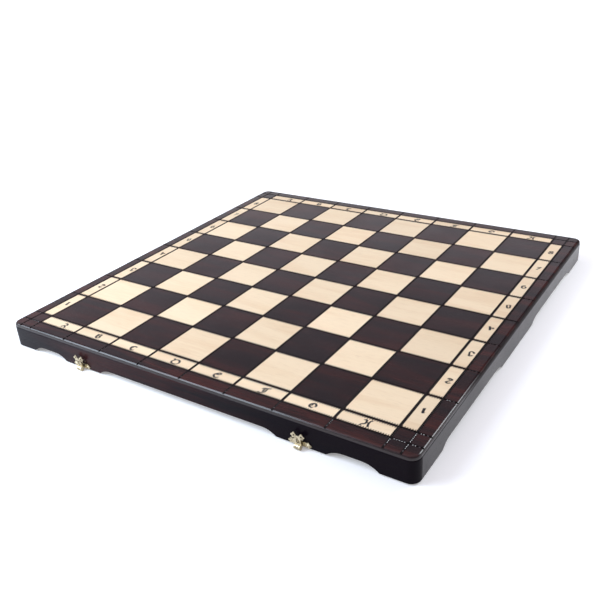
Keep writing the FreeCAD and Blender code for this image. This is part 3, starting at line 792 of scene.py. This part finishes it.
# The broad pen: its nib's width, angle and lean, and its thinnest stroke, in heights of a label
PEN_WIDTH = 0.25
PEN_ANGLE = math.radians(38.0)
PEN_LEAN = 0.6
PEN_EDGE = 0.18
# How much thicker each stroke lies than the one before, as a share of the ink's thickness
STROKE_RISE = 0.2


def smooth_line(points, steps=8):
    """Points along a curve that passes through the given ones."""
    ends = [points[0], *points, points[-1]]
    line = []
    for before, start, stop, after in zip(ends, ends[1:], ends[2:], ends[3:]):
        for n in range(steps):
            t = n / steps
            line.append(Vector([
                0.5 * (2 * b + (c - a) * t + (2 * a - 5 * b + 4 * c - d) * t**2
                       + (3 * b - a - 3 * c + d) * t**3)
                for a, b, c, d in zip(before, start, stop, after)]))
    line.append(Vector(points[-1]))
    return line


def pen_stroke(mesh, points, place, height, low, thick):
    """A closed strip as a broad pen draws it along the points: thick one way and thin the other."""
    nib = Vector((math.cos(PEN_ANGLE), math.sin(PEN_ANGLE))) * PEN_WIDTH / 2
    line = smooth_line(points)
    rows = []
    for n, point in enumerate(line):
        run = (line[min(n + 1, len(line) - 1)] - line[max(n - 1, 0)]).normalized()
        side = Vector((-run.y, run.x))
        reach = max(abs(nib.dot(side)), PEN_EDGE / 2)
        lean = run * nib.dot(run) * (1.0 if nib.dot(side) >= 0 else -1.0)
        row = []
        for sign in (1, -1):
            flat = (point + (side * reach + lean * PEN_LEAN) * sign - Vector((0.5, 0.5))) * height
            for level in (low + thick, low):
                row.append(mesh.verts.new((place.x + flat.x, place.y + flat.y, level)))
        rows.append(row)
    for (a, b, c, d), (e, f, g, h) in zip(rows, rows[1:]):
        for loop in ((a, c, g, e), (b, f, h, d), (a, e, f, b), (c, d, h, g)):
            mesh.faces.new(loop)
    a, b, c, d = rows[0]
    mesh.faces.new((a, b, d, c))
    a, b, c, d = rows[-1]
    mesh.faces.new((a, c, d, b))


def label(mesh, sign, middle, height, sizes):
    """One burnt letter or digit, its strokes laid one a little over the other."""
    place = middle + Vector(SLIPS[sign]) * height
    for layer, points in enumerate(STROKES[sign]):
        thick = sizes.ink_depth * (1.0 + STROKE_RISE * layer)
        pen_stroke(mesh, points, place, height, TOP, thick)


class BurnLabels(bpy.types.Operator):
    """Burn the file letters and the rank digits into the label tiles."""

    bl_idname = "chess_board.burn_labels"
    bl_label = "Burn Labels"

    def execute(self, context):
        sizes = context.scene.board_sizes
        ink = burnt_ink()
        middle = FIELD_EDGE + LABEL_BAND / 2
        for half, sign in HALVES.items():
            letters = bmesh.new()
            for file, letter in enumerate(LETTERS):
                place = Vector(((file - HALF_FILES + 0.5) * SQUARE, sign * middle))
                label(letters, letter, place, sizes.letter_height, sizes)
            digits = bmesh.new()
            ranks = range(HALF_FILES) if half == "front" else range(HALF_FILES, FILES)
            for rank in ranks:
                for side in (-1, 1):
                    y = (rank - HALF_FILES + 0.5) * SQUARE
                    label(digits, str(rank + 1), Vector((side * middle, y)), sizes.digit_height, sizes)
            for name, mesh in (("letters", letters), ("digits", digits)):
                bmesh.ops.recalc_face_normals(mesh, faces=mesh.faces)
                shown_mesh(f"{half}_{name}", mesh, ink, f"{half}_half")
        return {"FINISHED"}


def felt_ripple(x, y):
    """The soft unevenness of the felt's open face, from -1 to 1, over a tray one wide and one long."""
    return math.sin(x * 23.0 + y * 7.0) * math.sin(y * 17.0 - x * 5.0)


def felt_slab(low, high):
    """A closed slab of felt that fills a box: flat above, against the panel, and uneven below."""
    size = high - low
    mesh = bmesh.new()
    bmesh.ops.create_grid(mesh, x_segments=FELT_CELLS[0], y_segments=FELT_CELLS[1], size=0.5)
    for vert in mesh.verts:
        x, y, _ = vert.co
        slack = FELT_SLACK + FELT_RIPPLE * felt_ripple(x, y)
        vert.co = low + Vector(((x + 0.5) * size.x, (y + 0.5) * size.y, slack * size.z))
    edges = [edge.verts[:] for edge in mesh.edges if edge.is_boundary]
    above = {vert: mesh.verts.new((vert.co.x, vert.co.y, high.z)) for vert in mesh.verts[:]}
    for face in mesh.faces[:]:
        mesh.faces.new([above[vert] for vert in face.verts])
    for a, b in edges:
        mesh.faces.new((a, b, above[b], above[a]))
    bmesh.ops.recalc_face_normals(mesh, faces=mesh.faces)
    return mesh


class LayLinings(bpy.types.Operator):
    """Lay a sheet of felt against each panel, inside the tray."""

    bl_idname = "chess_board.lay_linings"
    bl_label = "Lay Linings"

    def execute(self, context):
        felt = felt_cloth()
        for half in HALVES:
            node = f"{half}_lining"
            low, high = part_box(node)
            mesh = felt_slab(low, high)
            piece = shown_mesh(f"{half}_felt", mesh, felt, f"{half}_half")
            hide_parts(node)
        return {"FINISHED"}


# Each lamp's place, the point that it faces, its size in metres and its colour
LAMPS = {
    "overhead_lamp": ((-0.25, 0.25, 1.7), (0.0, 0.0, 0.0), (1.8, 1.8), (1.0, 0.95, 0.88)),
    "left_softbox": ((-0.94, -0.85, 0.83), (-0.94, -0.25, 0.03), (1.05, 1.0), (0.76, 0.87, 1.0)),
    "back_softbox": ((0.9, 0.9, 0.85), (0.2, -0.2, 0.0), (0.5, 0.5), (0.9, 0.95, 1.0)),
}


def area_lamp(name, power):
    """One of the soft lamps, facing its target."""
    place, target, size, colour = LAMPS[name]
    data = bpy.data.lights.new(name, "AREA")
    data.shape = "RECTANGLE"
    data.size, data.size_y = size
    data.energy = power
    data.color = colour
    lamp = bpy.data.objects.new(name, data)
    lamp.location = place
    lamp.rotation_euler = (Vector(target) - Vector(place)).to_track_quat("-Z", "Y").to_euler()
    bpy.context.scene.collection.objects.link(lamp)


def studio_world():
    """A soft dome: white at the horizon, dim above it and lighter overhead."""
    world = bpy.data.worlds.new("studio")
    bpy.context.scene.world = world
    world.use_nodes = True
    tree = world.node_tree
    tree.nodes.clear()
    book = NodeBook(tree)
    height = book.parts(book.add("ShaderNodeTexCoord").outputs["Generated"])[2]
    horizon = book.ramp(height, 0.15, 0.6, start=1.0, end=0.24)
    overhead = book.ramp(height, 0.6, 0.95, end=0.43)
    level = book.math("ADD", horizon, overhead)
    tint = book.mix(book.ramp(height, 0.2, 0.4), (1.0, 1.0, 1.0), (0.93, 0.87, 1.0))
    background = book.add("ShaderNodeBackground")
    book.feed(background.inputs["Color"], tint)
    book.feed(background.inputs["Strength"], level)
    book.feed(book.add("ShaderNodeOutputWorld").inputs["Surface"], background.outputs[0])


def floor_finish(white):
    """A pale floor that keeps shadows and is seen, straight or in a reflection, as nearly white."""
    material = bpy.data.materials.new("pale_floor")
    material.use_nodes = True
    tree = material.node_tree
    tree.nodes.clear()
    book = NodeBook(tree)
    diffuse = book.add("ShaderNodeBsdfDiffuse")
    book.feed(diffuse.inputs["Color"], (0.9, 0.9, 0.9))
    glow = book.add("ShaderNodeEmission")
    rays = book.add("ShaderNodeLightPath").outputs
    seen = book.math("MAXIMUM", rays["Is Camera Ray"], rays["Is Glossy Ray"])
    seen = book.math("MAXIMUM", seen, rays["Is Transmission Ray"])
    from_board = book.add("ShaderNodeVectorMath", operation="LENGTH")
    book.feed(from_board.inputs[0], object_position(book))
    level = book.ramp(from_board.outputs["Value"], FLOOR_NEAR, FLOOR_FAR, start=white)
    book.feed(glow.inputs["Strength"], book.math("MULTIPLY", seen, level))
    both = book.add("ShaderNodeAddShader")
    book.feed(both.inputs[0], diffuse.outputs[0])
    book.feed(both.inputs[1], glow.outputs[0])
    book.feed(book.add("ShaderNodeOutputMaterial").inputs["Surface"], both.outputs[0])
    return material


class SetStage(bpy.types.Operator):
    """Set the floor, the lamps, the world and the camera."""

    bl_idname = "chess_board.set_stage"
    bl_label = "Set Stage"

    def execute(self, context):
        stage = context.scene.board_stage
        self.lay_floor(stage)
        studio_world()
        area_lamp("overhead_lamp", stage.overhead_power)
        area_lamp("left_softbox", stage.left_power)
        area_lamp("back_softbox", stage.back_power)
        camera = bpy.data.objects.new("camera", bpy.data.cameras.new("camera"))
        camera.data.lens = stage.lens
        camera.location = stage.camera_place
        camera.rotation_euler = Euler(stage.camera_turn)
        context.scene.collection.objects.link(camera)
        context.scene.camera = camera
        context.scene.view_settings.view_transform = "Standard"
        return {"FINISHED"}

    def lay_floor(self, stage):
        """A floor at the foot of the board, which sinks when the back half folds under the front."""
        mesh = bmesh.new()
        bmesh.ops.create_grid(mesh, x_segments=1, y_segments=1, size=stage.floor_size / 2)
        data = bpy.data.meshes.new("floor")
        mesh.to_mesh(data)
        mesh.free()
        data.materials.append(floor_finish(stage.floor_white))
        floor = bpy.data.objects.new("floor", data)
        bpy.context.scene.collection.objects.link(floor)
        marker = bpy.data.objects.new("back_top_marker", None)
        marker.location = (0.0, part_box("back_panel")[1].y, TOP)
        bpy.context.scene.collection.objects.link(marker)
        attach(marker, "back_half")
        follow = floor.constraints.new("COPY_LOCATION")
        follow.target = marker
        follow.use_x = follow.use_y = False
        stop = floor.constraints.new("LIMIT_LOCATION")
        stop.use_max_z = True
        stop.max_z = 0.0


class BoardPanel(bpy.types.Panel):
    """Lists the steps that dress the board, and its sizes and colours."""

    bl_idname = "VIEW3D_PT_chess_board"
    bl_label = "Chess Board"
    bl_space_type = "VIEW_3D"
    bl_region_type = "UI"
    bl_category = "Chess Board"

    def draw(self, context):
        for step in STEPS:
            self.layout.operator(step.bl_idname)
        scene = context.scene
        for settings in (scene.board_sizes, scene.board_colours, scene.board_stage):
            box = self.layout.box()
            for name in settings.__annotations__:
                box.prop(settings, name)


STEPS = (FinishDarkWood, FinishPaleWood, FinishBrass, PressLines, BurnLabels, LayLinings, SetStage)
SETTINGS = {"board_sizes": BoardSizes, "board_colours": BoardColours, "board_stage": StageSettings}


def register():
    for kind in (*SETTINGS.values(), *STEPS, BoardPanel):
        bpy.utils.register_class(kind)
    for name, kind in SETTINGS.items():
        setattr(bpy.types.Scene, name, PointerProperty(type=kind))


def unregister():
    for name in SETTINGS:
        delattr(bpy.types.Scene, name)
    for kind in reversed((*SETTINGS.values(), *STEPS, BoardPanel)):
        bpy.utils.unregister_class(kind)


def main():
    register()
    for step in STEPS:
        group, name = step.bl_idname.split(".")
        getattr(getattr(bpy.ops, group), name)()


if __name__ == "__main__":
    main()
